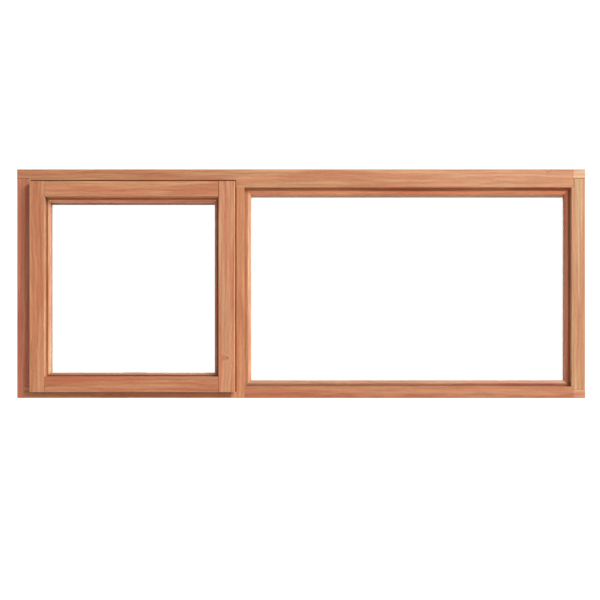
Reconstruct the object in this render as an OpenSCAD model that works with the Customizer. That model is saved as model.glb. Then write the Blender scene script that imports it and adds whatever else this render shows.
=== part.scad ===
// Timber window: a top-hung, outward-opening lipped sash beside a directly glazed fixed light.
// X runs along the width, Z up, and the outside face of the window looks along -Y.
// The origin is on the underside of the sill, at the middle of the width and of the frame's depth.

/* [Frame] */
// Overall width of the frame
frame_w = 1500; // [1400:10:1600]
// Overall height of the frame
frame_h = 604; // [590:2:660]
// Depth of every frame member, outside to inside
frame_d = 69; // [67:1:78]
// Height of the head's face
head_face = 48; // [46:1:56]
// Height of the sill's face
sill_face = 30; // [30:1:40]
// Width of the left jamb's face
left_face = 48; // [46:1:56]
// Width of the right jamb's face
right_face = 36.5; // [36:0.5:50]
// Width of the mullion
mullion_face = 36; // [36:1:50]
// Clear width between the left jamb and the mullion
vent_w = 516; // [480:2:560]
// How far the stop that the sash closes on stands into the vent opening
stop_rise = 17; // [15:1:20]
// How far the head's and the sill's stop stand up behind the fixed glass
fixed_stop = 13.5; // [12:0.5:16]
// How far the uprights' splayed stops stand out behind the glass
side_stop = 8.5; // [7:0.5:10]
// Width of the fixed light's beads
fixed_bead_w = 17; // [15:1:20]
// How far the groove round the lip shows beside it
groove_out = 1.2; // [0:0.1:3]
// How far that groove shows above the lip
groove_top = 5.5; // [4:0.5:7]

/* [Sash] */
// How far the sash lip stands in front of the frame face, with its thickness
lip_proud = 16; // [15:1:18]
// Thickness of the lip that laps the frame
lip_t = 12; // [11:0.5:13]
// How far the lip laps the left jamb
lap_left = 12; // [10:1:15]
// How far the lip laps the mullion
lap_right = 12.5; // [10:0.5:17]
// How far the lip laps the head
lap_top = 13; // [12:1:14]
// How far the lip laps the sill
lap_bottom = 15; // [10:1:18]
// Face width of the left stile, top rail and bottom rail
sash_face = 41; // [38:1:46]
// Face width of the right stile
right_stile_face = 44; // [43:1:52]
// Clear gap between the sash's edge and each upright of the frame
side_gap = 10; // [10:1:11]
// Clear gap over the sash
top_gap = 8; // [8:1:9]
// Clear gap under the sash
bottom_gap = 6; // [5:1:7]
// Width of the sash's beads
sash_bead_w = 11; // [10:0.5:14]
// How far the top rail's upstand covers the glass edge
top_cover = 12.5; // [10:0.5:15]
// How far the other upstands cover the glass edge
side_cover = 8.5; // [7:0.5:10]

/* [Glazing] */
// Thickness of each pane
pane_t = 4; // [4:1:5]
// Width of the gap between the panes
pane_gap = 6; // [4:1:6]
// Gap between the glass edge and the timber
glass_gap = 3; // [2:0.5:4]

/* [Hardware] */
// Height of the hinge axis over the bottom of the head
axis_up = 9.8; // [9.6:0.1:10]
// Length of each hinge along its pin
hinge_len = 60; // [50:2:80]
// Distance from the hinge axis to the brake arm's fixed pivot, equal to the arm's length
arm_len = 125; // [110:1:140]
// Angle of the line the brake shoe slides on
brake_tilt = 7; // [6:0.5:7]
// Length of the fastener's lever, from the spindle to the middle of its knob
lever_len = 84; // [70:1:100]

/* [Hidden] */
$fn = 48;
eps = 0.01;

// Frame: outside and inside faces, and the front of the stop
half_w = frame_w / 2;
front = -frame_d / 2;
back = frame_d / 2;
stop_front = 4;
riser_d = 20;

// Vent opening between the frame members, as far as the stop is cut back
vent_x0 = -half_w + left_face;
vent_x1 = vent_x0 + vent_w;
open_z0 = sill_face;
open_z1 = frame_h - head_face;

// Fixed light's opening
fixed_x0 = vent_x1 + mullion_face;
fixed_x1 = half_w - right_face;

// Corner housings at the front of the joints
riser_w = 30;
riser_up = 23;
left_foot_w = 18;
foot_z = 22;

// Tenons of the three uprights: [left side, right side]
tenon_y0 = 6;
tenon_y1 = 18;
tenon_up = 30;
tenon_down = 25;
POSTS = [
    [-half_w + 5, -half_w + 35],
    [vent_x1 + 6, fixed_x0 - 6],
    [half_w - 32, half_w - 5]
];

// Sash: edge, lip, glazing rebate and inner face
sash_x0 = vent_x0 + side_gap;
sash_x1 = vent_x1 - side_gap;
sash_z0 = open_z0 + bottom_gap;
sash_z1 = open_z1 - top_gap;
sash_back = 1;
lip_x0 = vent_x0 - lap_left;
lip_x1 = vent_x1 + lap_right;
lip_z0 = open_z0 - lap_bottom;
lip_z1 = open_z1 + lap_top;
lip_front = front - lip_proud;
lip_back = lip_front + lip_t;
glass_x0 = lip_x0 + sash_face;
glass_x1 = lip_x1 - right_stile_face;
glass_z0 = lip_z0 + sash_face;
glass_z1 = lip_z1 - sash_face;
upstand_front = -6.5;

// Sealed units: outside face of each, and the tape on both sides
unit_t = 2 * pane_t + pane_gap;
tape_t = 1;
sash_unit_y = upstand_front - tape_t - unit_t;
fixed_unit_y = stop_front - tape_t - unit_t;
seal_w = 3;
spacer_w = 4.5;
tape_w = 5;

// Beads: depth at the timber, and width across the glass edge
sash_bead_front = lip_front + 15.5;
fixed_bead_front = front + 10;
bead_slope = 3;
bead_quirk = 2.5;

// Hinge axis, knuckle and leaf
axis_y = lip_back + 0.5;
axis_z = open_z1 + axis_up;
knuckle_r = 3;
hinge_pin_r = 1.5;
leaf_t = 1.6;
leaf_reach = 24;
HINGE_X = [glass_x0 + 30, glass_x1 - 30 - hinge_len];
knuckle_1 = hinge_len * 0.3;
knuckle_2 = hinge_len * 0.7;

// Brake arm, measured from the sash's edge towards the frame
track_u = 3;
arm_u0 = 4.7;
arm_u1 = 7.2;
base_u = 7.5;
arm_w = 12;
pivot_r = 2;
brake_y = axis_y + arm_len * sin(brake_tilt);
brake_z = axis_z - arm_len * cos(brake_tilt);
track_0 = arm_len - 17;
track_1 = 2 * arm_len + 18;

// Fastener: spindle position and the nose it throws
fast_x = (lip_x0 + lip_x1) / 2;
fast_z = glass_z0 + 4;
stop_top = open_z0 + stop_rise;
keeper_y0 = stop_front + 2;
keeper_y1 = keeper_y0 + 14;
nose_y0 = 10;
nose_y1 = 14;
nose_r = 3.5;
nose_reach = 19;
spindle_r = 3;
plate_t = 2;

// Holes through each jamb for the screws into the wall
fixing_y = 20;
fixing_r = 4;
fixing_z = [frame_h / 2 - 180, frame_h / 2 + 180];

wood = [0.60, 0.35, 0.18];
wood_dark = [0.48, 0.26, 0.13];
steel = [0.72, 0.72, 0.70];
bronze = [0.30, 0.24, 0.17];
brass = [0.78, 0.62, 0.30];
rubber = [0.09, 0.09, 0.09];
clear = [0.80, 0.88, 0.88, 0.35];

// ---------- shared shapes ----------

module box(x0, x1, y0, y1, z0, z1) {
    translate([x0, y0, z0]) cube([x1 - x0, y1 - y0, z1 - z0]);
}

// Plate seen from the front, w wide and h high, with rounded corners
module rounded(w, h, r) {
    square([w - 2 * r, h], center = true);
    square([w, h - 2 * r], center = true);
    for (x = [-1, 1], z = [-1, 1]) translate([x * (w / 2 - r), z * (h / 2 - r)]) circle(r);
}

// Flat ring in the XZ plane, w wide, inside the outline x0..x1, z0..z1
module ring(x0, x1, z0, z1, y0, y1, w) {
    difference() {
        box(x0, x1, y0, y1, z0, z1);
        box(x0 + w, x1 - w, y0 - 1, y1 + 1, z0 + w, z1 - w);
    }
}

// Puts a child drawn along +X, facing inward along +Z, on one side of an opening
module on_side(side, x0, x1, z0, z1) {
    if (side == "bottom") translate([x0, 0, z0]) children();
    if (side == "right") translate([x1, 0, z0]) rotate([0, -90, 0]) children();
    if (side == "top") translate([x1, 0, z1]) rotate([0, 180, 0]) children();
    if (side == "left") translate([x0, 0, z1]) rotate([0, 90, 0]) children();
}

// Bar along +X with mitred ends; the profile is [distance from the timber, Y]
module mitred(len, w, profile) {
    intersection() {
        rotate([90, 0, 90]) linear_extrude(len) polygon([for (p = profile) [p[1], p[0]]]);
        translate([0, 100, 0]) rotate([90, 0, 0]) linear_extrude(200)
            polygon([[0, 0], [len, 0], [len - w, w], [w, w]]);
    }
}

// A quirk at the timber, a ridge at mid-width and a slope down to the glass
function bead_profile(w, y0, y1) =
    [[0, y0 + bead_quirk], [1.5, y0 + bead_quirk], [w / 2, y0], [w - 2, y0 + bead_slope],
     [w, y0 + bead_slope + 2], [w, y1], [0, y1]];

// Countersunk wood screw; its head is flush at z = 0 and it points down
module screw_body(len, r) {
    translate([0, 0, -len]) cylinder(r1 = r * 0.3, r2 = r, h = 3);
    translate([0, 0, 3 - len]) cylinder(r = r, h = len - 3 - r);
    translate([0, 0, -r]) cylinder(r1 = r, r2 = r * 2, h = r);
}

module screw(len, r) {
    difference() {
        screw_body(len, r);
        translate([-r * 2, -0.4, -r * 0.45]) cube([r * 4, 0.8, r]);
    }
}

// Brad with a small head, point down
module pin_body(len) {
    translate([0, 0, -len]) cylinder(r = 0.8, h = len);
    translate([0, 0, -1]) cylinder(r = 1.4, h = 1);
}

// Pins through a bead: n along a side of length len, heads just below the bead's inner face
module pins_along(len, n, w, depth, y) {
    for (i = [0.5:1:n]) translate([len * i / n, y, w - 1]) pin_body(depth);
}

// ---------- placements used by a fastener and by the hole it goes in ----------

module fixed_pins(side) {
    long = side == "top" || side == "bottom";
    on_side(side, fixed_x0, fixed_x1, open_z0, open_z1)
        pins_along(long ? fixed_x1 - fixed_x0 : open_z1 - open_z0, long ? 4 : 3, fixed_bead_w, 33,
                   fixed_bead_front + 8);
}

module sash_pins(side) {
    long = side == "top" || side == "bottom";
    on_side(side, glass_x0, glass_x1, glass_z0, glass_z1)
        pins_along(long ? glass_x1 - glass_x0 : glass_z1 - glass_z0, long ? 4 : 3, sash_bead_w, 24,
                   sash_bead_front + 7);
}

module at_hinge_frame_screws(i) {
    for (x = [10, hinge_len - 10])
        translate([HINGE_X[i] + x, front + 12, open_z1 - leaf_t]) rotate([180, 0, 0]) children();
}

module at_hinge_sash_screws(i) {
    for (x = [10, hinge_len - 10])
        translate([HINGE_X[i] + x, lip_back + 14, sash_z1 + leaf_t]) children();
}

// Origin on the hinge axis at the sash's edge; X points towards the frame (side -1 is the left)
module at_edge(side, y, z) {
    translate([side < 0 ? sash_x0 : sash_x1, y, z]) mirror([side < 0 ? 1 : 0, 0, 0]) children();
}

// The same, turned so that -Z runs down the line the brake shoe slides on
module on_brake_line(side) {
    at_edge(side, axis_y, axis_z) rotate([brake_tilt, 0, 0]) children();
}

// Extrudes an outline drawn as [distance down, Y] from u0 to u1 out of the sash's edge
module layer(u0, u1) {
    translate([u0, 0, 0]) rotate([0, 90, 0]) linear_extrude(u1 - u0) children();
}

module at_track_screws(side) {
    on_brake_line(side)
        for (d = [track_0 + 5.5, track_1 - 5.5])
            translate([0.8, 0, -d]) rotate([0, 90, 0]) children();
}

module at_base_screws(side) {
    at_edge(side, brake_y, brake_z)
        for (z = [-17, 17]) translate([base_u, 0, z]) rotate([0, -90, 0]) children();
}

module at_keeper_screws() {
    for (x = [-11, 25]) translate([fast_x + x, (keeper_y0 + keeper_y1) / 2, stop_top]) children();
}

module at_fastener_screws() {
    for (x = [-24, 24])
        translate([fast_x + x, sash_back + plate_t, fast_z - 8]) rotate([-90, 0, 0]) children();
}

module wall_fixings(side) {
    for (z = fixing_z)
        translate([side < 0 ? -half_w - 1 : fixed_x1 - side_stop - 1, fixing_y, z]) rotate([0, 90, 0])
            cylinder(r = fixing_r, h = 2 + (side < 0 ? left_face + stop_rise : right_face + side_stop));
}

// ---------- frame ----------

module post_tenon(post, up) {
    if (up) box(post[0], post[1], tenon_y0, tenon_y1, open_z1, open_z1 + tenon_up);
    else box(post[0], post[1], tenon_y0, tenon_y1, open_z0 - tenon_down, open_z0);
}

module top_riser(x0) {
    box(x0, x0 + riser_w, front, front + riser_d, open_z1, open_z1 + riser_up);
}

module drip_groove() {
    box(-half_w - 1, half_w + 1, front + 8, front + 14, -1, 5);
}

// Groove in the frame's face along the edge of the closed lip; it stops creeping rain
module lip_groove() {
    ring(lip_x0 - groove_out, lip_x1 + groove_out, lip_z0 + 1, lip_z1 + groove_top,
         front - 1, front + 7, 7);
}

// Stops of the head (up is 1) or the sill (up is 0)
module cross_stops(up) {
    box(vent_x0 + stop_rise, vent_x1 - stop_rise, stop_front, back,
        up ? open_z1 - stop_rise : open_z0, up ? open_z1 : open_z0 + stop_rise);
    box(fixed_x0, fixed_x1, stop_front, back,
        up ? open_z1 - fixed_stop : open_z0, up ? open_z1 : open_z0 + fixed_stop);
}

// Splayed stop of the upright at x, between the head's and the sill's stop; dir points into the light
module side_stop_at(x, dir) {
    translate([x, 0, open_z0 + fixed_stop])
        linear_extrude(open_z1 - open_z0 - 2 * fixed_stop)
            polygon([[0, stop_front], [dir * side_stop, stop_front],
                     [dir * side_stop, stop_front + 4], [0, back]]);
}

module frame_head() {
    color(wood) difference() {
        union() {
            box(-half_w, half_w, front, back, open_z1, frame_h);
            cross_stops(1);
        }
        for (p = POSTS) post_tenon(p, true);
        top_riser(-half_w);
        top_riser(half_w - riser_w);
        for (i = [0, 1]) at_hinge_frame_screws(i) screw_body(18, 2);
        fixed_pins("top");
        lip_groove();
    }
}

module keeper_pocket() {
    box(fast_x - 6, fast_x + 20, nose_y0 - 0.5, nose_y1 + 0.5, stop_top - 9, stop_top + 1);
}

module keeper_outline(up) {
    box(fast_x - 16, fast_x + 30, keeper_y0, keeper_y1, stop_top - 1.5, stop_top + up);
}

module frame_sill() {
    color(wood) difference() {
        union() {
            box(-half_w, half_w, front, back, 0, open_z0);
            cross_stops(0);
        }
        for (p = POSTS) post_tenon(p, false);
        box(-half_w - 1, -half_w + left_foot_w, front - 1, front + riser_d, -1, open_z0 + 1);
        box(vent_x1, fixed_x0, front - 1, front + riser_d, -1, open_z0 + 1);
        box(half_w - riser_w, half_w + 1, front - 1, front + riser_d, foot_z, open_z0 + 1);
        drip_groove();
        lip_groove();
        box(-half_w - 1, half_w + 1, back - 8, back + 1, 10, 20);
        keeper_outline(1);
        keeper_pocket();
        at_keeper_screws() screw_body(16, 1.5);
        fixed_pins("bottom");
    }
}

module frame_left_jamb() {
    color(wood_dark) difference() {
        union() {
            box(-half_w, vent_x0, front, back, open_z0, open_z1);
            box(vent_x0, vent_x0 + stop_rise, stop_front, back, open_z0, open_z1);
            top_riser(-half_w);
            box(-half_w, -half_w + left_foot_w, front, front + riser_d, 0, open_z0);
            post_tenon(POSTS[0], true);
            post_tenon(POSTS[0], false);
        }
        drip_groove();
        lip_groove();
        wall_fixings(-1);
        at_base_screws(-1) screw_body(16, 1.5);
    }
}

module frame_right_jamb() {
    color(wood) difference() {
        union() {
            box(fixed_x1, half_w, front, back, open_z0, open_z1);
            side_stop_at(fixed_x1, -1);
            top_riser(half_w - riser_w);
            box(half_w - riser_w, half_w, front, front + riser_d, foot_z, open_z0);
            post_tenon(POSTS[2], true);
            post_tenon(POSTS[2], false);
        }
        wall_fixings(1);
        fixed_pins("right");
    }
}

module frame_mullion() {
    color(wood) difference() {
        union() {
            box(vent_x1, fixed_x0, front, back, open_z0, open_z1);
            box(vent_x1 - stop_rise, vent_x1, stop_front, back, open_z0, open_z1);
            side_stop_at(fixed_x0, 1);
            box(vent_x1, fixed_x0, front, front + riser_d, 0, open_z0);
            post_tenon(POSTS[1], true);
            post_tenon(POSTS[1], false);
        }
        drip_groove();
        lip_groove();
        at_base_screws(1) screw_body(16, 1.5);
        fixed_pins("left");
    }
}

module frame_weatherseal() {
    inset = stop_rise - 5.5;
    w = 4;
    y1 = stop_front;
    color(rubber)
        for (s = ["bottom", "right", "top", "left"]) {
            len = (s == "top" || s == "bottom" ? vent_w : open_z1 - open_z0) - 2 * inset;
            on_side(s, vent_x0 + inset, vent_x1 - inset, open_z0 + inset, open_z1 - inset)
                mitred(len, w, [[0, y1], [0, y1 - 1], [1, y1 - 2.8], [3, y1 - 2.8], [w, y1 - 1], [w, y1]]);
        }
}

// ---------- glazing ----------

module fixed_bead(side) {
    len = side == "top" || side == "bottom" ? fixed_x1 - fixed_x0 : open_z1 - open_z0;
    color(wood) difference() {
        on_side(side, fixed_x0, fixed_x1, open_z0, open_z1)
            mitred(len, fixed_bead_w, bead_profile(fixed_bead_w, fixed_bead_front, fixed_unit_y - tape_t));
        fixed_pins(side);
    }
}

module sash_bead(side) {
    len = side == "top" || side == "bottom" ? glass_x1 - glass_x0 : glass_z1 - glass_z0;
    color(wood_dark) difference() {
        on_side(side, glass_x0, glass_x1, glass_z0, glass_z1)
            mitred(len, sash_bead_w, bead_profile(sash_bead_w, sash_bead_front, sash_unit_y - tape_t));
        sash_pins(side);
    }
}

// Gives a child the outline of one sealed unit: fixed light or sash
module unit_ring(fixed, y0, y1, inset, w) {
    g = glass_gap + inset;
    if (fixed) ring(fixed_x0 + g, fixed_x1 - g, open_z0 + g, open_z1 - g, y0, y1, w);
    else ring(glass_x0 + g, glass_x1 - g, glass_z0 + g, glass_z1 - g, y0, y1, w);
}

module pane(fixed, y) {
    g = glass_gap;
    color(clear)
        if (fixed) box(fixed_x0 + g, fixed_x1 - g, y, y + pane_t, open_z0 + g, open_z1 - g);
        else box(glass_x0 + g, glass_x1 - g, y, y + pane_t, glass_z0 + g, glass_z1 - g);
}

module blocks(x0, x1, z0, z1, y) {
    w = x1 - x0;
    color(rubber) {
        for (f = [0.2, 0.8], z = [z0, z1 - glass_gap])
            box(x0 + w * f - 40, x0 + w * f + 40, y, y + unit_t, z, z + glass_gap);
        for (x = [x0, x1 - glass_gap])
            box(x, x + glass_gap, y, y + unit_t, (z0 + z1) / 2 - 40, (z0 + z1) / 2 + 40);
    }
}

module tapes(fixed, y) {
    color(rubber) {
        unit_ring(fixed, y - tape_t, y, 0, tape_w);
        unit_ring(fixed, y + unit_t, y + unit_t + tape_t, 0, tape_w);
    }
}

// ---------- hinges ----------

module knuckle(x0, x1, r) {
    translate([x0, axis_y, axis_z]) rotate([0, 90, 0]) cylinder(r = r, h = x1 - x0);
}

module hinge_frame_leaf(i) {
    x = HINGE_X[i];
    color(steel) difference() {
        union() {
            knuckle(x, x + knuckle_1, knuckle_r);
            knuckle(x + knuckle_2, x + hinge_len, knuckle_r);
            box(x, x + hinge_len, front - leaf_t, front, open_z1 - leaf_t, axis_z);
            box(x, x + hinge_len, front - leaf_t, front + leaf_reach, open_z1 - leaf_t, open_z1);
        }
        box(x + knuckle_1, x + knuckle_2, front - leaf_t - 1, front + 1,
            axis_z - knuckle_r - 0.5, axis_z + 5);
        knuckle(x - 1, x + hinge_len + 1, hinge_pin_r);
        at_hinge_frame_screws(i) screw_body(18, 2);
    }
}

module hinge_sash_leaf(i) {
    x = HINGE_X[i];
    color(steel) difference() {
        union() {
            knuckle(x + knuckle_1 + 0.2, x + knuckle_2 - 0.2, knuckle_r);
            box(x, x + hinge_len, lip_back - leaf_t, lip_back, sash_z1, axis_z - knuckle_r - 0.5);
            box(x + knuckle_1 + 0.2, x + knuckle_2 - 0.2, lip_back - leaf_t, lip_back, sash_z1, axis_z);
            box(x, x + hinge_len, lip_back - leaf_t, lip_back + leaf_reach, sash_z1, sash_z1 + leaf_t);
        }
        knuckle(x - 1, x + hinge_len + 1, hinge_pin_r + 0.05);
        at_hinge_sash_screws(i) screw_body(14, 2);
    }
}

module hinge_pin(i) {
    x = HINGE_X[i];
    color(steel) {
        knuckle(x - 1, x + hinge_len + 1, hinge_pin_r);
        knuckle(x - 1, x, hinge_pin_r + 1);
        knuckle(x + hinge_len, x + hinge_len + 1, hinge_pin_r + 1);
    }
}

// Room in the back of the lip for the sash leaf and for the turning knuckles
module hinge_recess(i) {
    x = HINGE_X[i];
    shelf = axis_z - knuckle_r - 0.5;
    box(x, x + hinge_len, lip_back - leaf_t, lip_back + eps, sash_z1, shelf + eps);
    box(x - 3, x + hinge_len + 3, axis_y - knuckle_r - 0.3, lip_back + eps, shelf, lip_z1 + 1);
}

// ---------- brake arms ----------

module brake_base(side) {
    color(steel) at_edge(side, brake_y, brake_z) {
        difference() {
            layer(base_u, side_gap) rounded(50, 16, 4);
            for (z = [-17, 17]) translate([base_u, 0, z]) rotate([0, -90, 0]) screw_body(16, 1.5);
        }
        layer(arm_u0 - 0.1, base_u) circle(pivot_r);
        layer(track_u + 0.35, arm_u0 - 0.1) circle(pivot_r + 1.2);
    }
}

module brake_arm(side) {
    color(steel) on_brake_line(side) layer(arm_u0, arm_u1) difference() {
        union() {
            translate([arm_len, -arm_w / 2]) square([arm_len, arm_w]);
            translate([arm_len, 0]) circle(arm_w / 2);
            translate([2 * arm_len, 0]) circle(arm_w / 2);
        }
        translate([arm_len, 0]) circle(pivot_r + 0.05);
        translate([2 * arm_len, 0]) circle(pivot_r + 0.05);
    }
}

module brake_shoe(side) {
    color(bronze) on_brake_line(side) {
        layer(0.9, 2.15) translate([2 * arm_len, 0]) square([14, 9.4], center = true);
        layer(2.1, 3.2) translate([2 * arm_len, 0]) square([13, 7.4], center = true);
        layer(3.1, arm_u0 - 0.1) translate([2 * arm_len, 0]) square([14, 10], center = true);
        layer(3.1, arm_u1 + 0.1) translate([2 * arm_len, 0]) circle(pivot_r);
        layer(arm_u1 + 0.05, arm_u1 + 1.3) translate([2 * arm_len, 0]) circle(pivot_r + 1.2);
    }
}

module track_screw_body() {
    cylinder(r = 2.6, h = 1.1);
    translate([0, 0, -9]) cylinder(r = 1.4, h = 9);
    translate([0, 0, -12]) cylinder(r1 = 0.4, r2 = 1.4, h = 3);
}

module brake_track(side) {
    len = track_1 - track_0;
    color(steel) difference() {
        on_brake_line(side) difference() {
            layer(0, track_u) translate([track_0, -6]) square([len, 12]);
            layer(0.8, 2.2) translate([track_0 - 1, -4.8]) square([len + 2, 9.6]);
            layer(2.1, track_u + 1) translate([track_0 - 1, -3.8]) square([len + 2, 7.6]);
        }
        at_track_screws(side) track_screw_body();
    }
}

// ---------- sash ----------

module rail_tenons(z0, z1) {
    box(glass_x0 - 12, glass_x0, -34, -24, z0, z1);
    box(glass_x1, glass_x1 + 12, -34, -24, z0, z1);
}

module sash_top_rail() {
    color(wood) difference() {
        union() {
            box(glass_x0, glass_x1, lip_front, lip_back, glass_z1, lip_z1);
            box(glass_x0, glass_x1, lip_back, sash_back, glass_z1, sash_z1);
            box(glass_x0 + side_cover, glass_x1 - side_cover, upstand_front, sash_back,
                glass_z1 - top_cover, glass_z1);
            rail_tenons(glass_z1 + 2, sash_z1 - 2);
        }
        for (i = [0, 1]) hinge_recess(i);
        for (i = [0, 1]) at_hinge_sash_screws(i) screw_body(14, 2);
        sash_pins("top");
    }
}

module sash_bottom_rail() {
    color(wood) difference() {
        union() {
            box(glass_x0, glass_x1, lip_front, lip_back, lip_z0, glass_z0);
            box(glass_x0, glass_x1, lip_back, sash_back, sash_z0, glass_z0);
            box(glass_x0 + side_cover, glass_x1 - side_cover, upstand_front, sash_back,
                glass_z0, glass_z0 + side_cover);
            rail_tenons(sash_z0 + 2, glass_z0 - 2);
        }
        at_fastener_screws() screw_body(16, 1.5);
        sash_pins("bottom");
    }
}

module sash_stile(side, lip0, lip1, edge0, edge1, cover0) {
    color(wood_dark) difference() {
        union() {
            box(lip0, lip1, lip_front, lip_back, lip_z0, lip_z1);
            box(edge0, edge1, lip_back, sash_back, sash_z0, sash_z1);
            box(cover0, cover0 + side_cover, upstand_front, sash_back, glass_z0, glass_z1);
        }
        rail_tenons(glass_z1 + 2, sash_z1 - 2);
        rail_tenons(sash_z0 + 2, glass_z0 - 2);
        at_track_screws(side) track_screw_body();
        sash_pins(side < 0 ? "left" : "right");
    }
}

// ---------- fastener and keeper ----------

module along_y(y0, y1) {
    translate([fast_x, y1, fast_z]) rotate([90, 0, 0]) linear_extrude(y1 - y0) children();
}

module fastener_plate() {
    color(bronze) difference() {
        translate([0, 0, -1.5])
            along_y(sash_back, sash_back + plate_t) rounded(68, 20, 5);
        along_y(0, 5) circle(spindle_r);
        at_fastener_screws() screw_body(16, 1.5);
    }
}

module fastener_spindle() {
    color(bronze) {
        along_y(sash_back, 17.2) circle(spindle_r);
        translate([fast_x, 17.1, fast_z]) rotate([-90, 0, 0]) cylinder(r1 = 5, r2 = 3.6, h = 1.6);
    }
}

module fastener_handle() {
    color(bronze) difference() {
        union() {
            along_y(sash_back + plate_t + 0.1, 17) circle(7.5);
            along_y(nose_y0, nose_y1) {
                translate([0, -nose_r]) square([nose_reach - nose_r, 2 * nose_r]);
                translate([nose_reach - nose_r, 0]) circle(nose_r);
            }
            translate([fast_x, 11, fast_z]) rotate([0, -90, 0]) cylinder(r1 = 5, r2 = 3.6, h = lever_len);
            translate([fast_x - lever_len, 11, fast_z]) sphere(r = 6.2);
        }
        along_y(0, 20) circle(spindle_r + 0.05);
    }
}

module keeper_plate() {
    color(brass) difference() {
        keeper_outline(0);
        keeper_pocket();
        at_keeper_screws() screw_body(16, 1.5);
    }
}

// ---------- every node, by name ----------

frame_head();
frame_sill();
frame_left_jamb();
frame_right_jamb();
frame_mullion();
frame_weatherseal();

for (s = ["top", "bottom", "left", "right"]) {
    fixed_bead(s);
    sash_bead(s);
}

pane(true, fixed_unit_y);  // fixed_outer_pane
pane(true, fixed_unit_y + pane_t + pane_gap);  // fixed_inner_pane
color(bronze) unit_ring(true, fixed_unit_y + pane_t, fixed_unit_y + pane_t + pane_gap, seal_w, spacer_w);  // fixed_spacer_bar
color(rubber) unit_ring(true, fixed_unit_y + pane_t, fixed_unit_y + pane_t + pane_gap, 0, seal_w);  // fixed_edge_seal
blocks(fixed_x0, fixed_x1, open_z0, open_z1, fixed_unit_y);  // fixed_setting_blocks
tapes(true, fixed_unit_y);  // fixed_glazing_tape
color(steel) for (s = ["top", "bottom", "left", "right"]) fixed_pins(s);  // fixed_bead_pins

pane(false, sash_unit_y);  // sash_outer_pane
pane(false, sash_unit_y + pane_t + pane_gap);  // sash_inner_pane
color(bronze) unit_ring(false, sash_unit_y + pane_t, sash_unit_y + pane_t + pane_gap, seal_w, spacer_w);  // sash_spacer_bar
color(rubber) unit_ring(false, sash_unit_y + pane_t, sash_unit_y + pane_t + pane_gap, 0, seal_w);  // sash_edge_seal
blocks(glass_x0, glass_x1, glass_z0, glass_z1, sash_unit_y);  // sash_setting_blocks
tapes(false, sash_unit_y);  // sash_glazing_tape
color(steel) for (s = ["top", "bottom", "left", "right"]) sash_pins(s);  // sash_bead_pins

hinge_frame_leaf(0);  // hinge_frame_leaf_left
hinge_frame_leaf(1);  // hinge_frame_leaf_right
hinge_sash_leaf(0);  // hinge_sash_leaf_left
hinge_sash_leaf(1);  // hinge_sash_leaf_right
hinge_pin(0);  // hinge_pin_left
hinge_pin(1);  // hinge_pin_right
color(steel) for (i = [0, 1]) at_hinge_frame_screws(i) screw(18, 2);  // hinge_frame_screws
color(steel) for (i = [0, 1]) at_hinge_sash_screws(i) screw(14, 2);  // hinge_sash_screws

brake_base(-1);  // brake_base_left
brake_base(1);  // brake_base_right
color(steel) for (s = [-1, 1]) at_base_screws(s) screw(16, 1.5);  // brake_base_screws
brake_track(-1);  // brake_track_left
brake_track(1);  // brake_track_right
color(steel) for (s = [-1, 1]) at_track_screws(s) track_screw_body();  // brake_track_screws
brake_arm(-1);  // brake_arm_left
brake_arm(1);  // brake_arm_right
brake_shoe(-1);  // brake_shoe_left
brake_shoe(1);  // brake_shoe_right

sash_top_rail();
sash_bottom_rail();
sash_stile(-1, lip_x0, glass_x0, sash_x0, glass_x0, glass_x0);  // sash_left_stile
sash_stile(1, glass_x1, lip_x1, glass_x1, sash_x1, glass_x1 - side_cover);  // sash_right_stile

fastener_plate();
color(bronze) at_fastener_screws() screw(16, 1.5);  // fastener_screws
fastener_spindle();
fastener_handle();
keeper_plate();
color(brass) at_keeper_screws() screw(16, 1.5);  // keeper_screws
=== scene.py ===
"""Looks for a timber window: a top-hung lipped sash beside a fixed light.

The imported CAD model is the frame. This script rounds its arrises, gives every node a
procedural material, builds the fastener's lever, and sets the camera, light and floor.
Metres throughout. The outside of the window looks along -Y, and X runs along the width.
"""

import math

import bmesh
import bpy
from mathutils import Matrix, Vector


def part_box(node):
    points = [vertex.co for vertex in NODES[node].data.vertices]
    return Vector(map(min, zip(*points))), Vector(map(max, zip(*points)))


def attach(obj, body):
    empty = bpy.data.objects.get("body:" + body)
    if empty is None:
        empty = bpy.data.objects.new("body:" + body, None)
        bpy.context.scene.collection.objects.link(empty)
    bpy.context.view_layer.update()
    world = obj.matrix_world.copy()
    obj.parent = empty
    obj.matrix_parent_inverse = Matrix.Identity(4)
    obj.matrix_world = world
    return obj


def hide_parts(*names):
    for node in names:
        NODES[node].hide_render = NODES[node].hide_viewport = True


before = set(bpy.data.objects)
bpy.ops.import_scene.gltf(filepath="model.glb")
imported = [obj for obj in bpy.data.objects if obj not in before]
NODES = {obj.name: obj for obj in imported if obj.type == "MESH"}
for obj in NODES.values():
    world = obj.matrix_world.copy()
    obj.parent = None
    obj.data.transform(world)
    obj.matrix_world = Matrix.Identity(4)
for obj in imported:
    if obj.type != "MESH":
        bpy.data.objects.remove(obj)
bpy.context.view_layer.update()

MM = 0.001
scene = bpy.context.scene


# ---------- places, from the frame ----------

HEAD_LO, HEAD_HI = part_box("frame_head")
FACE_Y = HEAD_LO[1]
WIDTH = HEAD_HI[0] - HEAD_LO[0]
HEIGHT = HEAD_HI[2]
STILE_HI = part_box("sash_right_stile")[1]
HANDLE_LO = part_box("fastener_handle")[0]
SPINDLE_LO, SPINDLE_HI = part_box("fastener_spindle")


# ---------- camera ----------

# The picture is a little wider than the window and its middle sits below the window's.
# The camera stands level with the sill and looks straight in, so the shift lifts the view.
VIEW_W = WIDTH * 1.0562
VIEW_MID_X = -3 * MM
VIEW_MID_Z = HEIGHT * 0.428
DISTANCE = 2.5
SENSOR = 36.0
SHIFT_Y = 0.17

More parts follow.
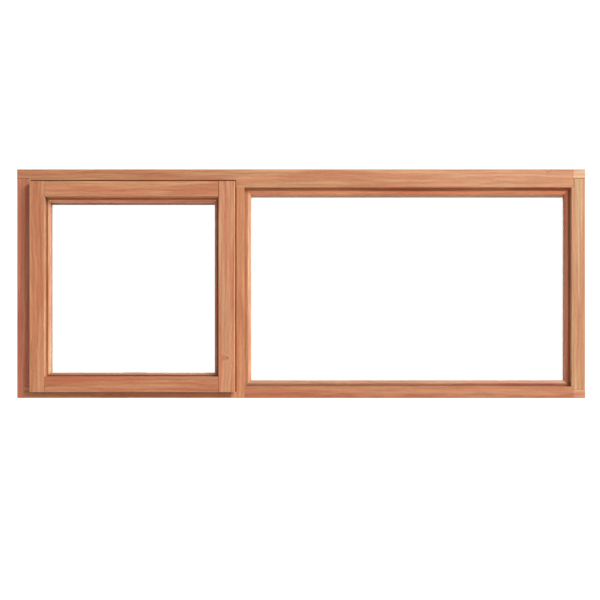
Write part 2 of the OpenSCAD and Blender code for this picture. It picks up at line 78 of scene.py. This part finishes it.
camera_data = bpy.data.cameras.new("camera")
camera_data.sensor_width = SENSOR
camera_data.lens = SENSOR * DISTANCE / VIEW_W
camera_data.shift_y = SHIFT_Y
camera = bpy.data.objects.new("camera", camera_data)
camera.location = (VIEW_MID_X, FACE_Y - DISTANCE, VIEW_MID_Z - SHIFT_Y * VIEW_W)
camera.rotation_euler = (math.radians(90), 0, 0)
scene.collection.objects.link(camera)
scene.camera = camera


# ---------- node helpers ----------

class Graph:
    """Short calls for building a node tree."""

    def __init__(self, tree):
        self.tree = tree
        tree.nodes.clear()

    def add(self, kind, inputs=None, **props):
        node = self.tree.nodes.new(kind)
        for name, value in props.items():
            setattr(node, name, value)
        for name, value in (inputs or {}).items():
            if isinstance(value, bpy.types.NodeSocket):
                self.tree.links.new(value, node.inputs[name])
            else:
                node.inputs[name].default_value = value
        return node

    def math(self, operation, a, b=0.0, clamp=False):
        return self.add("ShaderNodeMath", {0: a, 1: b}, operation=operation, use_clamp=clamp).outputs[0]

    def spread(self, value, low, high, to_low=0.0, to_high=1.0):
        """value, taken from low..high to to_low..to_high with a smooth step."""
        node = self.add(
            "ShaderNodeMapRange",
            {"Value": value, "From Min": low, "From Max": high, "To Min": to_low, "To Max": to_high},
            interpolation_type="SMOOTHSTEP",
        )
        return node.outputs["Result"]

    def mix(self, factor, a, b, blend="MIX"):
        node = self.add("ShaderNodeMix", data_type="RGBA", blend_type=blend)
        for socket, value in ((0, factor), (6, a), (7, b)):
            if isinstance(value, bpy.types.NodeSocket):
                self.tree.links.new(value, node.inputs[socket])
            else:
                node.inputs[socket].default_value = value
        return node.outputs[2]

    def scaled(self, vector, scale, turn=(0, 0, 0)):
        return self.add("ShaderNodeMapping", {"Vector": vector, "Rotation": turn, "Scale": scale}).outputs[0]

    def vector(self, operation, a, b):
        return self.add("ShaderNodeVectorMath", {0: a, 1: b}, operation=operation).outputs["Vector"]

    def length(self, vector):
        return self.add("ShaderNodeVectorMath", {0: vector}, operation="LENGTH").outputs["Value"]

    def bump(self, height, strength, depth):
        inputs = {"Height": height, "Strength": strength, "Distance": depth}
        return self.add("ShaderNodeBump", inputs).outputs["Normal"]

    def noise(self, vector, detail=2.0, roughness=0.5, scale=1.0):
        inputs = {"Vector": vector, "Scale": scale, "Detail": detail, "Roughness": roughness}
        return self.add("ShaderNodeTexNoise", inputs)


def new_material(name):
    material = bpy.data.materials.new(name)
    material.use_nodes = True
    return material, Graph(material.node_tree)


def rgba(colour):
    return (*colour, 1.0)


# ---------- timber ----------

# Distance from the heart of the tree to the board, across the grain, before the offset
PITH = (0.0, 0.17, 0.09)
# Growth rings, in Blender's wave texture scale
RING_SCALE = 30.0
# How far the fibres wander from straight
WANDER = 30 * MM
DARK_FIBRE = (1.0, 0.86, 0.80)


def wood(name, grain, offset, red, gold, knots=(), ends=()):
    """Oiled hardwood. grain is the axis the fibres run along; offset picks the board out of the log.

    ends lists (least X, lowest Z, highest Z, tint): a let-in end block of paler wood."""
    material, g = new_material(name)
    where = g.add("ShaderNodeTexCoord")
    turn = (0, math.radians(90), 0) if grain == "Z" else (0, 0, 0)
    board = g.vector("ADD", g.scaled(where.outputs["Object"], (1, 1, 1), turn), offset)

    # Slow wander of the fibres along the board
    wander = g.noise(g.scaled(board, (1.6, 7, 7)), detail=2.0).outputs["Color"]
    wander = g.vector("SUBTRACT", wander, (0.5, 0.5, 0.5))
    board = g.vector("ADD", board, g.vector("MULTIPLY", wander, (0, WANDER, WANDER)))

    # A knot pushes the fibres aside and is dark in the middle
    knot_dark = None
    for centre, radius in knots:
        away = g.vector("SUBTRACT", where.outputs["Object"], centre)
        distance = g.length(g.vector("MULTIPLY", away, (1, 0, 1)))
        swell = g.spread(distance, radius * 4, 0.0, 0.0, radius * 1.6)
        push = g.add("ShaderNodeCombineXYZ", {"Y": swell, "Z": swell}).outputs[0]
        board = g.vector("ADD", board, push)
        spot = g.spread(distance, radius, radius * 0.2, 0.0, 0.38)
        knot_dark = spot if knot_dark is None else g.math("MAXIMUM", knot_dark, spot)

    rings = g.add(
        "ShaderNodeTexWave",
        {
            "Vector": g.vector("ADD", board, PITH),
            "Scale": RING_SCALE,
            "Distortion": 4.5,
            "Detail": 3.0,
            "Detail Scale": 0.5,
        },
        wave_type="RINGS",
        rings_direction="X",
        wave_profile="SAW",
    ).outputs["Fac"]
    late = g.spread(rings, 0.35, 1.0)
    tone = g.noise(g.scaled(board, (2.6, 46, 46)), detail=4.0, roughness=0.6).outputs["Fac"]
    streak = g.noise(g.scaled(board, (5, 150, 150)), detail=3.0, roughness=0.6).outputs["Fac"]
    fleck = g.noise(g.scaled(board, (28, 420, 420)), detail=2.0, roughness=0.5).outputs["Fac"]
    fibre = g.noise(g.scaled(board, (16, 1500, 1500)), detail=2.0, roughness=0.6).outputs["Fac"]
    pores = g.noise(g.scaled(board, (95, 2300, 2300)), detail=1.0).outputs["Fac"]
    pores = g.spread(pores, 0.60, 0.70)

    colour = g.mix(g.spread(tone, 0.38, 0.62), rgba(red), rgba(gold))
    if ends:
        place = g.add("ShaderNodeSeparateXYZ", {0: where.outputs["Object"]})
        for least_x, low, high, tint in ends:
            inside = g.math("GREATER_THAN", place.outputs["X"], least_x)
            inside = g.math("MULTIPLY", inside, g.math("GREATER_THAN", place.outputs["Z"], low))
            inside = g.math("MULTIPLY", inside, g.math("LESS_THAN", place.outputs["Z"], high))
            colour = g.mix(inside, colour, g.mix(1.0, colour, rgba(tint), "MULTIPLY"))
    shade = g.spread(streak, 0.25, 0.75, 0.84, 1.12)
    shade = g.math("MULTIPLY", shade, g.spread(late, 0.0, 1.0, 1.03, 0.90))
    shade = g.math("MULTIPLY", shade, g.spread(fleck, 0.56, 0.72, 1.0, 0.86))
    shade = g.math("MULTIPLY", shade, g.spread(fibre, 0.3, 0.7, 0.95, 1.04))
    shade = g.math("MULTIPLY", shade, g.spread(pores, 0.0, 1.0, 1.0, 0.72))
    if knot_dark is not None:
        shade = g.math("MULTIPLY", shade, g.math("SUBTRACT", 1.0, knot_dark))

    # End grain soaks up more finish and is darker
    axis = (0, 0, 1) if grain == "Z" else (1, 0, 0)
    facing = {0: where.outputs["Normal"], 1: axis}
    facing = g.add("ShaderNodeVectorMath", facing, operation="DOT_PRODUCT").outputs["Value"]
    end = g.spread(g.math("ABSOLUTE", facing), 0.75, 0.95)
    shade = g.math("MULTIPLY", shade, g.spread(end, 0.0, 1.0, 1.0, 0.70))
    grey = g.add("ShaderNodeCombineXYZ", {"X": shade, "Y": shade, "Z": shade}).outputs[0]
    colour = g.mix(1.0, colour, grey, "MULTIPLY")
    # Dark fibres are redder as well
    redder = g.mix(1.0, colour, rgba(DARK_FIBRE), "MULTIPLY")
    colour = g.mix(g.spread(shade, 1.0, 0.7, 0.0, 0.35), colour, redder)

    height = g.math("SUBTRACT", g.math("MULTIPLY", fibre, 0.6), pores)
    height = g.math("ADD", height, g.math("MULTIPLY", late, 0.25))
    bump = g.bump(height, 0.35, 0.25 * MM)
    rough = g.spread(g.math("ADD", fibre, g.math("MULTIPLY", pores, 0.4)), 0.3, 0.9, 0.42, 0.62)
    shader = g.add(
        "ShaderNodeBsdfPrincipled",
        {"Base Color": colour, "Roughness": rough, "Normal": bump, "Specular IOR Level": 0.4},
    )
    g.add("ShaderNodeOutputMaterial", {"Surface": shader.outputs[0]})
    return material


RED = (0.420, 0.155, 0.078)
GOLD = (0.462, 0.228, 0.120)


def tinted(colour, tint):
    return tuple(c * t for c, t in zip(colour, tint))


# ---------- other materials ----------

def glass_material():
    """Clear float glass; lamps shine through it."""
    material, g = new_material("clear_glass")
    shader = g.add(
        "ShaderNodeBsdfPrincipled",
        {
            "Base Color": (0.985, 0.997, 0.990, 1),
            "Roughness": 0.0,
            "IOR": 1.5,
            "Transmission Weight": 1.0,
        },
    )
    lamps = g.add("ShaderNodeBsdfTransparent", {"Color": (0.96, 0.98, 0.97, 1)})
    shadow = g.add("ShaderNodeLightPath").outputs["Is Shadow Ray"]
    both = g.add("ShaderNodeMixShader", {0: shadow, 1: shader.outputs[0], 2: lamps.outputs[0]})
    g.add("ShaderNodeOutputMaterial", {"Surface": both.outputs[0]})
    return material


def metal(name, colour, roughness, brush, wear, metallic=1.0):
    """Metal with fine brushing along X; wear is how much lighter the handled spots are."""
    material, g = new_material(name)
    where = g.add("ShaderNodeTexCoord").outputs["Object"]
    lines = g.noise(g.scaled(where, (brush, 40 * brush, 3 * brush)), detail=2.0).outputs["Fac"]
    cloud = g.noise(where, detail=3.0, scale=90.0).outputs["Fac"]
    worn = g.spread(cloud, 0.50, 0.75)
    base = g.mix(worn, rgba(colour), rgba(tuple(min(1.0, c * (1 + wear)) for c in colour)))
    base = g.mix(g.spread(lines, 0.3, 0.7, 0.0, 0.18), base, rgba(tuple(c * 0.7 for c in colour)))
    rough = g.math("ADD", roughness - 0.08, g.math("MULTIPLY", cloud, 0.16))
    bump = g.bump(lines, 0.12, 0.1 * MM)
    shader = g.add(
        "ShaderNodeBsdfPrincipled",
        {"Base Color": base, "Roughness": rough, "Metallic": metallic, "Normal": bump},
    )
    g.add("ShaderNodeOutputMaterial", {"Surface": shader.outputs[0]})
    return material


def rubber_material():
    material, g = new_material("seal_rubber")
    where = g.add("ShaderNodeTexCoord").outputs["Object"]
    skin = g.noise(where, detail=3.0, scale=1400.0).outputs["Fac"]
    bloom = g.noise(where, detail=2.0, scale=35.0).outputs["Fac"]
    base = g.mix(g.spread(bloom, 0.4, 0.75), (0.018, 0.018, 0.019, 1), (0.042, 0.041, 0.040, 1))
    bump = g.bump(skin, 0.3, 0.1 * MM)
    rough = g.spread(bloom, 0.3, 0.7, 0.55, 0.75)
    shader = g.add("ShaderNodeBsdfPrincipled", {"Base Color": base, "Roughness": rough, "Normal": bump})
    g.add("ShaderNodeOutputMaterial", {"Surface": shader.outputs[0]})
    return material


GLASS = glass_material()
STEEL = metal("zinc_steel", (0.44, 0.44, 0.43), roughness=0.36, brush=60.0, wear=0.20)
BAR = metal("bronze_anodised", (0.34, 0.20, 0.12), roughness=0.42, brush=50.0, wear=0.10)
BRASS = metal("satin_brass", (0.62, 0.42, 0.16), roughness=0.30, brush=60.0, wear=0.15)
BRONZE = metal("dark_bronze", (0.085, 0.060, 0.042), roughness=0.38, brush=55.0, wear=0.9, metallic=0.85)
RUBBER = rubber_material()


# ---------- rounded arrises ----------

HOLE_EDGE = 3.0 * MM
SHARP = math.cos(math.radians(25))


def edge_weights(node, weigh):
    """Marks the CAD mesh's sharp edges for the Bevel modifier; weigh(direction, length) gives 0 to 1."""
    mesh = NODES[node].data

    def key(v):
        return tuple(round(c, 5) for c in mesh.vertices[v].co)

    normals = {}
    for face in mesh.polygons:
        for a, b in face.edge_keys:
            normals.setdefault(frozenset((key(a), key(b))), []).append(face.normal)
    layer = mesh.attributes.new("bevel_weight_edge", "FLOAT", "EDGE")
    for edge in mesh.edges:
        a, b = (mesh.vertices[v].co for v in edge.vertices)
        around = normals.get(frozenset(key(v) for v in edge.vertices), [])
        sharp = len(around) > 1 and min(around[0].dot(n) for n in around[1:]) < SHARP
        if sharp and (b - a).length > HOLE_EDGE:
            layer.data[edge.index].value = weigh((b - a).normalized(), (b - a).length)


def rounded(node, radius, segments=3, weigh=None):
    """Rounds a CAD node's edges with modifiers, leaving its mesh as packed."""
    obj = NODES[node]
    weld = obj.modifiers.new("weld", "WELD")
    weld.merge_threshold = 0.01 * MM
    flat = obj.modifiers.new("flat", "DECIMATE")
    flat.decimate_type = "DISSOLVE"
    flat.angle_limit = math.radians(1)
    bevel = obj.modifiers.new("bevel", "BEVEL")
    bevel.width = radius
    bevel.segments = segments
    bevel.use_clamp_overlap = weigh is None
    if weigh is None:
        bevel.limit_method = "ANGLE"
        bevel.angle_limit = math.radians(35)
    else:
        edge_weights(node, weigh)
        bevel.limit_method = "WEIGHT"


ARRIS = 2.0 * MM
SASH_ARRIS = 1.25 * ARRIS
# Shares of the arris: on a glazing bead, and where members are cut or meet
BEAD = 0.4
JOINT = 0.12
LONG_EDGE = 12 * MM


def along(axis, strong=1.0, weak=JOINT):
    """Long edges along the grain get the full arris, and cuts across it only a touch."""
    def weigh(direction, length):
        return strong if abs(direction[axis]) > 0.99 and length > LONG_EDGE else weak
    return weigh


# ---------- timber, member by member ----------

# Knots: (centre, radius). Blocks: (least X, lowest Z, highest Z, tint)
KNOT_STILE = ((STILE_HI[0] - 20 * MM, 0, 105 * MM), 5 * MM)
KNOT_HEAD = ((0.652, 0, HEIGHT - 7 * MM), 3 * MM)
BLOCK_HEAD = (0.720, 0.579, 1.0, (1.18, 1.55, 1.90))
BLOCK_SILL = (0.720, -1.0, 0.022, (1.22, 1.45, 1.60))

# node: (grain, offset, tint). The tints make lit and shaded copies of one wood. Besides board colour they
# carry painted light and shade: members in shadow, such as the left jamb, the sill and the bottom and right
# beads, come out darker, and the top and left beads lighter.
# The tints are a program-made table, which the build's rules don't allow: see report.md. A scratch
# program fitted them to the photo's mean colour on each member, three beads' tints were then
# typed by hand, and a second program rounded them all to 0.05.
MEMBERS = {
    "frame_head": ("X", (0.3, 0.02, 0.01), (0.85, 0.90, 0.85)),
    "frame_sill": ("X", (1.9, 0.05, -0.03), (0.75, 0.65, 0.60)),
    "frame_left_jamb": ("Z", (2.7, 0.01, 0.04), (0.80, 0.60, 0.65)),
    "frame_right_jamb": ("Z", (4.1, 0.03, -0.02), (0.85, 1.05, 1.00)),
    "frame_mullion": ("Z", (5.3, -0.02, 0.02), (0.90, 0.80, 0.70)),
    "sash_top_rail": ("X", (6.2, 0.04, -0.05), (0.90, 0.90, 0.85)),
    "sash_bottom_rail": ("X", (7.6, -0.03, 0.03), (0.80, 0.70, 0.65)),
    "sash_left_stile": ("Z", (8.8, 0.02, 0.05), (0.90, 0.90, 0.85)),
    "sash_right_stile": ("Z", (9.9, -0.04, 0.01), (0.90, 0.90, 0.90)),
    "sash_bead_top": ("X", (11.1, 0.03, 0.02), (1.30, 1.15, 1.10)),
    "sash_bead_bottom": ("X", (12.4, 0.05, 0.04), (0.70, 0.70, 0.70)),
    "sash_bead_left": ("Z", (13.3, -0.02, 0.03), (1.00, 1.15, 1.15)),
    "sash_bead_right": ("Z", (14.6, 0.04, -0.03), (0.80, 0.70, 0.75)),
    "fixed_bead_top": ("X", (15.2, -0.04, 0.02), (1.20, 1.00, 0.90)),
    "fixed_bead_bottom": ("X", (16.7, 0.02, -0.04), (0.75, 0.75, 0.75)),
    "fixed_bead_left": ("Z", (17.8, 0.03, 0.03), (1.00, 1.15, 1.15)),
    "fixed_bead_right": ("Z", (18.5, -0.03, -0.02), (0.75, 0.55, 0.55)),
}
KNOTS = {"sash_right_stile": [KNOT_STILE], "frame_head": [KNOT_HEAD]}
ENDS = {"frame_head": [BLOCK_HEAD], "frame_sill": [BLOCK_SILL]}
AXIS = {"X": 0, "Z": 2}

# Each member's wood is multiplied by its tint, which paints light and shade onto it as well as board colour.
for node, (grain, offset, tint) in MEMBERS.items():
    material = wood("wood_with_painted_light_" + node, grain, offset, tinted(RED, tint), tinted(GOLD, tint),
                    KNOTS.get(node, ()), ENDS.get(node, ()))
    NODES[node].data.materials.clear()
    NODES[node].data.materials.append(material)
    if "bead" in node:
        rounded(node, ARRIS, segments=4, weigh=along(AXIS[grain], BEAD))
    else:
        radius = SASH_ARRIS if "sash" in node else ARRIS
        rounded(node, radius, segments=4, weigh=along(AXIS[grain]))


# ---------- the fastener's lever ----------

PIVOT_X = (SPINDLE_LO[0] + SPINDLE_HI[0]) / 2
PIVOT_Z = (SPINDLE_LO[2] + SPINDLE_HI[2]) / 2
# Middles of the grip and of the nose, front to back
LEVER_Y = 11 * MM
NOSE_Y = 12 * MM


def loft(bm, rings):
    """Closed skin through rings of points that all have the same count."""
    loops = [[bm.verts.new(point) for point in ring] for ring in rings]
    count = len(loops[0])
    for a, b in zip(loops, loops[1:]):
        for i in range(count):
            bm.faces.new((a[i], a[(i + 1) % count], b[(i + 1) % count], b[i]))
    bm.faces.new(list(reversed(loops[0])))
    bm.faces.new(loops[-1])


def oval(x, half_y, half_z, mid_y, power=1.0, count=28):
    """Ring round the X direction at x; power under 1 makes it squarer."""
    ring = []
    for i in range(count):
        turn = 2 * math.pi * i / count
        c, s = math.cos(turn), math.sin(turn)
        y = math.copysign(abs(c) ** power, c) * half_y
        z = math.copysign(abs(s) ** power, s) * half_z
        ring.append((x, mid_y + y, PIVOT_Z + z))
    return ring


def disc(y, radius, count=48):
    """Ring round the spindle at y."""
    turns = (2 * math.pi * i / count for i in range(count))
    return [(PIVOT_X + radius * math.cos(t), y, PIVOT_Z + radius * math.sin(t)) for t in turns]


def finished(bm, name):
    bmesh.ops.recalc_face_normals(bm, faces=bm.faces)
    mesh = bpy.data.meshes.new(name)
    bm.to_mesh(mesh)
    bm.free()
    for face in mesh.polygons:
        face.use_smooth = len(face.vertices) == 4
    obj = bpy.data.objects.new(name, mesh)
    scene.collection.objects.link(obj)
    return obj


bm = bmesh.new()
# Boss, turned round the spindle: (distance along Y, radius)
foot = HANDLE_LO[1] / MM
boss = (
    (foot + 0.01, 7.0), (foot + 0.6, 7.5), (9.0, 7.5), (13.5, 6.9), (15.8, 6.5), (16.7, 5.8), (17.0, 5.0),
)
loft(bm, [disc(y * MM, r * MM) for y, r in boss])
# Grip, waisted and then swelling to a rounded end: (share of the length, half thickness, half height)
grip = (
    (0.00, 4.6, 6.0), (0.10, 4.3, 5.4), (0.22, 3.6, 4.5), (0.38, 3.1, 3.9), (0.54, 3.2, 4.0),
    (0.70, 3.8, 4.7), (0.82, 4.4, 5.5), (0.90, 4.6, 5.8), (0.95, 4.2, 5.3), (0.98, 3.2, 4.1),
    (0.995, 1.8, 2.4), (1.00, 0.5, 0.7),
)
reach = HANDLE_LO[0] + 0.1 * MM - PIVOT_X
loft(bm, [oval(PIVOT_X + reach * t, y * MM, z * MM, LEVER_Y) for t, y, z in grip])
# Nose that turns down into the keeper: (distance from the spindle, half thickness, half height)
nose = ((2.0, 2.0, 3.5), (12.0, 2.0, 3.5), (16.0, 1.9, 3.2), (18.0, 1.5, 2.3), (18.9, 0.9, 1.2))
loft(bm, [oval(PIVOT_X + x * MM, y * MM, z * MM, NOSE_Y, 0.45) for x, y, z in nose])
lever = finished(bm, "fastener_lever")
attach(lever, "fastener")
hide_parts("fastener_handle")
lever.data.materials.append(BRONZE)


# ---------- everything else ----------

# Stamped and cut metal loses its sharp edges
STAMPED = ("hinge_frame_leaf", "hinge_sash_leaf", "brake_arm", "brake_track", "brake_shoe", "fastener_plate",
           "keeper_plate")
for name in NODES:
    if name.startswith(STAMPED) and not name.endswith("screws"):
        rounded(name, 0.35 * MM, segments=2)

FINISH = {
    GLASS: [n for n in NODES if n.endswith("pane")],
    RUBBER: [n for n in NODES if n.endswith(("seal", "tape", "blocks"))],
    BAR: [n for n in NODES if n.endswith("spacer_bar")],
    BRASS: [n for n in NODES if n.startswith("keeper")],
    BRONZE: [n for n in NODES if n.startswith(("fastener", "brake_shoe"))],
    STEEL: [n for n in NODES if n.startswith(("hinge", "brake_base", "brake_arm", "brake_track"))
            or n.endswith("pins")],
}
for material, names in FINISH.items():
    for name in names:
        NODES[name].data.materials.clear()
        NODES[name].data.materials.append(material)


# ---------- light, world and floor ----------

def area_light(name, location, target, size, power, colour=(1, 1, 1)):
    data = bpy.data.lights.new(name, "AREA")
    data.shape = "DISK"
    data.size = size
    data.energy = power
    data.color = colour
    light = bpy.data.objects.new(name, data)
    light.location = location
    light.rotation_euler = (Vector(target) - Vector(location)).to_track_quat("-Z", "Y").to_euler()
    scene.collection.objects.link(light)


MIDDLE = Vector((0, 0, HEIGHT / 2))
# The key stands far off, to the right and above, so that both ends are lit alike
KEY_FROM = Vector((0.66, -0.52, 0.56)).normalized()
KEY_DISTANCE = 7.0
area_light("key", MIDDLE + KEY_FROM * KEY_DISTANCE, MIDDLE, size=3.6, power=820.0, colour=(1.0, 0.985, 0.96))
area_light("back_fill", MIDDLE + Vector((-1.5, 4.0, 2.5)), MIDDLE, size=3.0, power=160.0)

world = bpy.data.worlds.new("studio")
world.use_nodes = True
scene.world = world
g = Graph(world.node_tree)
path = g.add("ShaderNodeLightPath")
seen = g.math("MAXIMUM", path.outputs["Is Camera Ray"], path.outputs["Is Transmission Ray"])
ambient = g.add("ShaderNodeBackground", {"Color": (1.0, 0.92, 0.85, 1), "Strength": 0.72})
white = g.add("ShaderNodeBackground", {"Color": (1, 1, 1, 1), "Strength": 1.08})
sky = g.add("ShaderNodeMixShader", {0: seen, 1: ambient.outputs[0], 2: white.outputs[0]})
g.add("ShaderNodeOutputWorld", {"Surface": sky.outputs[0]})
scene.view_settings.view_transform = "Standard"

# The window hangs at its usual height over the floor, which fades out into the white
SILL_HEIGHT = 0.9
FLOOR_R = 1.7
floor_mesh = bpy.data.meshes.new("floor")
bm = bmesh.new()
bmesh.ops.create_circle(bm, cap_ends=True, segments=96, radius=FLOOR_R)
bm.to_mesh(floor_mesh)
bm.free()
floor = bpy.data.objects.new("floor", floor_mesh)
floor.location = (0, 0, -SILL_HEIGHT)
scene.collection.objects.link(floor)
material, g = new_material("pale_floor")
where = g.add("ShaderNodeTexCoord").outputs["Object"]
radius = g.length(where)
pale = g.add("ShaderNodeBsdfDiffuse", {"Color": (0.86, 0.86, 0.86, 1)})
glow = g.add("ShaderNodeEmission", {"Color": (1, 1, 1, 1), "Strength": 0.42})
lit = g.add("ShaderNodeAddShader", {0: pale.outputs[0], 1: glow.outputs[0]})
gone = g.add("ShaderNodeBsdfTransparent")
edge = g.add(
    "ShaderNodeMixShader",
    {0: g.spread(radius, FLOOR_R * 0.5, FLOOR_R * 0.98), 1: lit.outputs[0], 2: gone.outputs[0]},
)
g.add("ShaderNodeOutputMaterial", {"Surface": edge.outputs[0]})
floor_mesh.materials.append(material)
